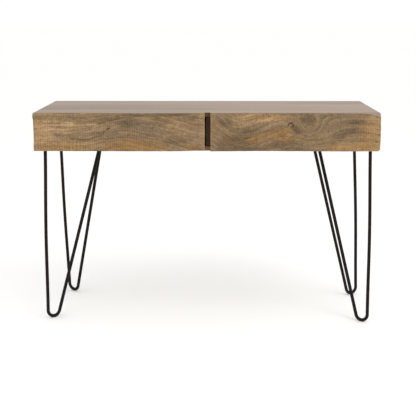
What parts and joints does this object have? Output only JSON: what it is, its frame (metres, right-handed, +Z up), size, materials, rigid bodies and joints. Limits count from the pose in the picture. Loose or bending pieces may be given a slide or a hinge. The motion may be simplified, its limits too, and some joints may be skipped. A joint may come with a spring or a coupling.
{
  "type": "writing desk",
  "caption": "Writing desk with a slab-like wooden case, side-by-side drawers with live-edge fronts and a finger gap between them, on hairpin legs bent from iron rod.",
  "frame": {"origin": "on the floor, under the middle of the desk's bounding box", "axes": "+X along the desk to the sitter's right, -Y towards the sitter, the way both drawers pull out, +Z up"},
  "size_m": [1.21, 0.502, 0.762],
  "materials": {
    "sawn_wood": "rough-sawn, with saw marks across the grain, grey-brown with golden patches, matt oil",
    "top_wood": "sanded smooth, grey-taupe, matt",
    "plain_wood": "planed, unstained",
    "black_iron": "black-brown paint on iron rod, satin",
    "zinc_steel": "zinc-plated"
  },
  "bodies": {
    "case": {"back_left_leg_plate": "black_iron", "back_left_leg_rod": "black_iron", "back_left_leg_screw_1": "black_iron", "back_left_leg_screw_2": "black_iron", "back_left_leg_screw_3": "black_iron", "back_left_leg_screw_4": "black_iron", "back_panel": "sawn_wood", "back_right_leg_plate": "black_iron", "back_right_leg_rod": "black_iron", "back_right_leg_screw_1": "black_iron", "back_right_leg_screw_2": "black_iron", "back_right_leg_screw_3": "black_iron", "back_right_leg_screw_4": "black_iron", "bottom_board": "sawn_wood", "centre_divider": "plain_wood", "front_left_leg_plate": "black_iron", "front_left_leg_rod": "black_iron", "front_left_leg_screw_1": "black_iron", "front_left_leg_screw_2": "black_iron", "front_left_leg_screw_3": "black_iron", "front_left_leg_screw_4": "black_iron", "front_right_leg_plate": "black_iron", "front_right_leg_rod": "black_iron", "front_right_leg_screw_1": "black_iron", "front_right_leg_screw_2": "black_iron", "front_right_leg_screw_3": "black_iron", "front_right_leg_screw_4": "black_iron", "left_drawer_left_slide_case_channel": "zinc_steel", "left_drawer_right_slide_case_channel": "zinc_steel", "left_end_panel": "sawn_wood", "right_drawer_left_slide_case_channel": "zinc_steel", "right_drawer_right_slide_case_channel": "zinc_steel", "right_end_panel": "sawn_wood", "top_board": "top_wood"},
    "left_drawer": {"left_drawer_back": "plain_wood", "left_drawer_bottom": "plain_wood", "left_drawer_box_front": "plain_wood", "left_drawer_front": "sawn_wood", "left_drawer_front_screw_1": "zinc_steel", "left_drawer_front_screw_2": "zinc_steel", "left_drawer_left_side": "plain_wood", "left_drawer_left_slide_drawer_channel": "zinc_steel", "left_drawer_right_side": "plain_wood", "left_drawer_right_slide_drawer_channel": "zinc_steel"},
    "right_drawer": {"right_drawer_back": "plain_wood", "right_drawer_bottom": "plain_wood", "right_drawer_box_front": "plain_wood", "right_drawer_front": "sawn_wood", "right_drawer_front_screw_1": "zinc_steel", "right_drawer_front_screw_2": "zinc_steel", "right_drawer_left_side": "plain_wood", "right_drawer_left_slide_drawer_channel": "zinc_steel", "right_drawer_right_side": "plain_wood", "right_drawer_right_slide_drawer_channel": "zinc_steel"}
  },
  "joints": [
    {"name": "left_drawer_slide", "type": "slide", "parent": "case", "child": "left_drawer", "axis": [0, -1, 0], "range_m": [0, 0.3]},
    {"name": "right_drawer_slide", "type": "slide", "parent": "case", "child": "right_drawer", "axis": [0, -1, 0], "range_m": [0, 0.3]}
  ]
}
